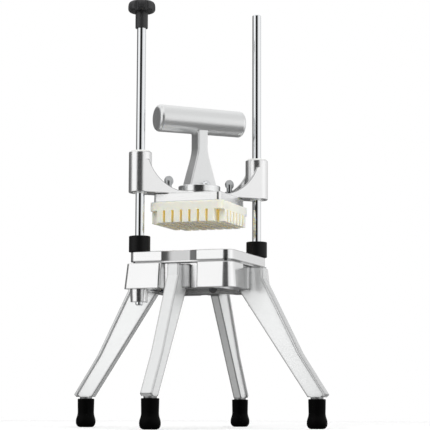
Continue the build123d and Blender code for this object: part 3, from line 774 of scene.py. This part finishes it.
class CHOPPER_OT_build_studio(bpy.types.Operator):
    """Set up the floor, the walls' light, the lamps and the camera"""

    bl_idname = "chopper.build_studio"
    bl_label = "Build Studio"

    def execute(self, context):
        studio = context.scene.chopper_studio
        context.scene.view_settings.view_transform = "Standard"
        self.lay_floor(studio)
        self.light_walls(context, studio)
        self.hang_lamps(context, studio)
        self.place_camera(context, studio)
        return {"FINISHED"}

    def lay_floor(self, studio):
        bpy.ops.object.select_all(action="DESELECT")
        bpy.ops.mesh.primitive_circle_add(
            vertices=FLOOR_SIDES, radius=studio.floor_radius, fill_type="NGON",
            location=(0, 0, 0))
        floor = bpy.context.object
        floor.name = "studio_floor"
        # Matt white studio paper, lifted to white for the eye and darker in reflections, so
        # that the undersides of polished pieces stay dark.
        material, tree, shader = new_material("Matt_studio_paper")
        shader.inputs["Roughness"].default_value = 0.9
        shader.inputs["Specular IOR Level"].default_value = 0.0
        eye, mirrored = ray_kinds(tree)
        fibre = add_node(tree, "ShaderNodeTexNoise", {
            "Vector": object_point(tree), "Scale": per_metre(studio.floor_fibre), "Detail": 3.0})
        tint = add_node(tree, "ShaderNodeMix", {
            "Factor": fibre.outputs["Fac"], "A": rgba(studio.floor_colour),
            "B": rgba(toned(studio.floor_colour, 0.99))}, data_type="RGBA")
        shade = add_node(tree, "ShaderNodeMix", {
            "Factor": mirrored, "A": tint.outputs["Result"],
            "B": rgba(toned(studio.floor_colour, studio.floor_mirrored))}, data_type="RGBA")
        tree.links.new(shade.outputs["Result"], shader.inputs["Base Color"])
        lift = add_node(tree, "ShaderNodeMath", {
            0: eye, 1: studio.floor_lift}, operation="MULTIPLY")
        shader.inputs["Emission Color"].default_value = WHITE
        tree.links.new(lift.outputs[0], shader.inputs["Emission Strength"])
        floor.data.materials.append(material)

    def light_walls(self, context, studio):
        world = bpy.data.worlds.new("Studio_walls")
        context.scene.world = world
        world.use_nodes = True
        tree = world.node_tree
        tree.nodes.clear()
        way = add_node(tree, "ShaderNodeTexCoord")
        # Turned so that +X of the result points from the object to the camera's side
        turn = add_node(tree, "ShaderNodeMapping", {
            "Vector": way.outputs["Generated"],
            "Rotation": (0.0, 0.0, math.pi / 2 - studio.camera_heading)}, vector_type="POINT")
        axes = add_node(tree, "ShaderNodeSeparateXYZ", {"Vector": turn.outputs["Vector"]})
        angle = add_node(tree, "ShaderNodeMath", {
            0: axes.outputs["Y"], 1: axes.outputs["X"]}, operation="ARCTAN2")
        share = add_node(tree, "ShaderNodeMapRange", {
            "Value": angle.outputs[0], "From Min": -math.pi, "From Max": math.pi})
        walls = add_node(tree, "ShaderNodeValToRGB", {"Fac": share.outputs["Result"]})
        ramp = walls.color_ramp.elements
        while len(ramp) < len(STUDIO_WALLS):
            ramp.new(0.5)
        for stop, (degrees, _) in zip(ramp, STUDIO_WALLS):
            stop.position = degrees / 360 + 0.5
        for stop, (_, level) in zip(ramp, STUDIO_WALLS):
            stop.color = (level, level, level, 1.0)
        # The ceiling is white, and greyer on the right
        rise = add_node(tree, "ShaderNodeMapRange", {
            "Value": axes.outputs["Z"],
            "From Min": CEILING_RISE[0], "From Max": CEILING_RISE[1]})
        ceiling = add_node(tree, "ShaderNodeMapRange", {
            "Value": axes.outputs["Y"],
            "From Min": CEILING_TURN[0], "From Max": CEILING_TURN[1],
            "To Min": studio.ceiling_level, "To Max": studio.ceiling_right})
        room = add_node(tree, "ShaderNodeMix", {
            "Factor": rise.outputs["Result"], "A": walls.outputs["Color"],
            "B": ceiling.outputs["Result"]}, data_type="RGBA")
        # Matt surfaces get even light, metal mirrors the room, and the eye sees white
        eye, mirrored = ray_kinds(tree)
        even = add_node(tree, "ShaderNodeBackground", {
            "Color": WHITE, "Strength": studio.ambient})
        seen = add_node(tree, "ShaderNodeBackground", {
            "Color": room.outputs["Result"], "Strength": 1.0})
        white = add_node(tree, "ShaderNodeBackground", {"Color": WHITE, "Strength": 1.0})
        light = add_node(tree, "ShaderNodeMixShader", {
            "Fac": mirrored, 1: even.outputs["Background"], 2: seen.outputs["Background"]})
        whole = add_node(tree, "ShaderNodeMixShader", {
            "Fac": eye, 1: light.outputs["Shader"], 2: white.outputs["Background"]})
        add_node(tree, "ShaderNodeOutputWorld", {"Surface": whole.outputs["Shader"]})

    def hang_lamps(self, context, studio):
        middle = (Vector(CAD_BOX[0]) + Vector(CAD_BOX[1])) / 2
        pusher = sum(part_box("pusher_block"), Vector()) / 2
        # Name, place, size, share of the power, spread in degrees and target of each lamp.
        # The grid lamp's narrow beam brightens the right side of the pusher alone.
        for name, place, size, share, spread, target in (
            ("key_lamp", (-1.5, -1.1, 1.3), 1.2, 0.8, 180, middle),
            ("fill_lamp", (1.2, -1.5, 1.5), 1.2, 0.6, 180, middle),
            ("top_lamp", (0.2, 0.3, 2.0), 1.4, 0.4, 180, middle),
            ("grid_lamp", (1.4, -1.0, 0.25), 0.1, 0.0005, 5, pusher),
        ):
            lamp = bpy.data.lights.new(name, "AREA")
            lamp.energy = studio.lamp_power * share
            lamp.size = size
            lamp.spread = math.radians(spread)
            hung = bpy.data.objects.new(name, lamp)
            hung.location = place
            hung.rotation_euler = (target - Vector(place)).to_track_quat("-Z", "Y").to_euler()
            hung.visible_glossy = False
            context.scene.collection.objects.link(hung)

    def place_camera(self, context, studio):
        sight = bpy.data.cameras.new("photo_camera")
        sight.sensor_width = SENSOR_WIDTH
        sight.lens = studio.camera_focus / PHOTO_PIXELS * SENSOR_WIDTH
        eye = bpy.data.objects.new("photo_camera", sight)
        upright = Matrix.Rotation(math.pi / 2 + studio.camera_pitch, 4, "X")
        heading = Matrix.Rotation(studio.camera_heading, 4, "Z")
        roll = Matrix.Rotation(studio.camera_roll, 4, "Z")
        eye.matrix_world = Matrix.Translation(studio.camera_place) @ heading @ upright @ roll
        context.scene.collection.objects.link(eye)
        context.scene.camera = eye


class CHOPPER_PT_sidebar(bpy.types.Panel):
    """Finishes and studio of the chopper"""

    bl_idname = "CHOPPER_PT_sidebar"
    bl_label = "Vegetable Chopper"
    bl_space_type = "VIEW_3D"
    bl_region_type = "UI"
    bl_category = "Chopper"

    def draw(self, context):
        for group in (context.scene.chopper_finish, context.scene.chopper_studio):
            column = self.layout.column()
            for name in group.bl_rna.properties.keys():
                if name not in ("rna_type", "name"):
                    column.prop(group, name)
        column = self.layout.column()
        for operator in OPERATORS:
            column.operator(operator.bl_idname)


OPERATORS = (
    CHOPPER_OT_finish_castings,
    CHOPPER_OT_finish_legs,
    CHOPPER_OT_finish_handle,
    CHOPPER_OT_finish_rods,
    CHOPPER_OT_finish_blades,
    CHOPPER_OT_finish_screws,
    CHOPPER_OT_finish_rubber,
    CHOPPER_OT_finish_knob,
    CHOPPER_OT_finish_bushes,
    CHOPPER_OT_finish_pusher,
    CHOPPER_OT_build_studio,
)
CLASSES = (ChopperFinish, ChopperStudio, *OPERATORS, CHOPPER_PT_sidebar)


def register():
    for kind in CLASSES:
        bpy.utils.register_class(kind)
    bpy.types.Scene.chopper_finish = PointerProperty(type=ChopperFinish)
    bpy.types.Scene.chopper_studio = PointerProperty(type=ChopperStudio)


def unregister():
    del bpy.types.Scene.chopper_studio
    del bpy.types.Scene.chopper_finish
    for kind in reversed(CLASSES):
        bpy.utils.unregister_class(kind)


def main():
    register()
    bpy.ops.chopper.finish_castings()
    bpy.ops.chopper.finish_legs()
    bpy.ops.chopper.finish_handle()
    bpy.ops.chopper.finish_rods()
    bpy.ops.chopper.finish_blades()
    bpy.ops.chopper.finish_screws()
    bpy.ops.chopper.finish_rubber()
    bpy.ops.chopper.finish_knob()
    bpy.ops.chopper.finish_bushes()
    bpy.ops.chopper.finish_pusher()
    bpy.ops.chopper.build_studio()


if __name__ == "__main__":
    main()
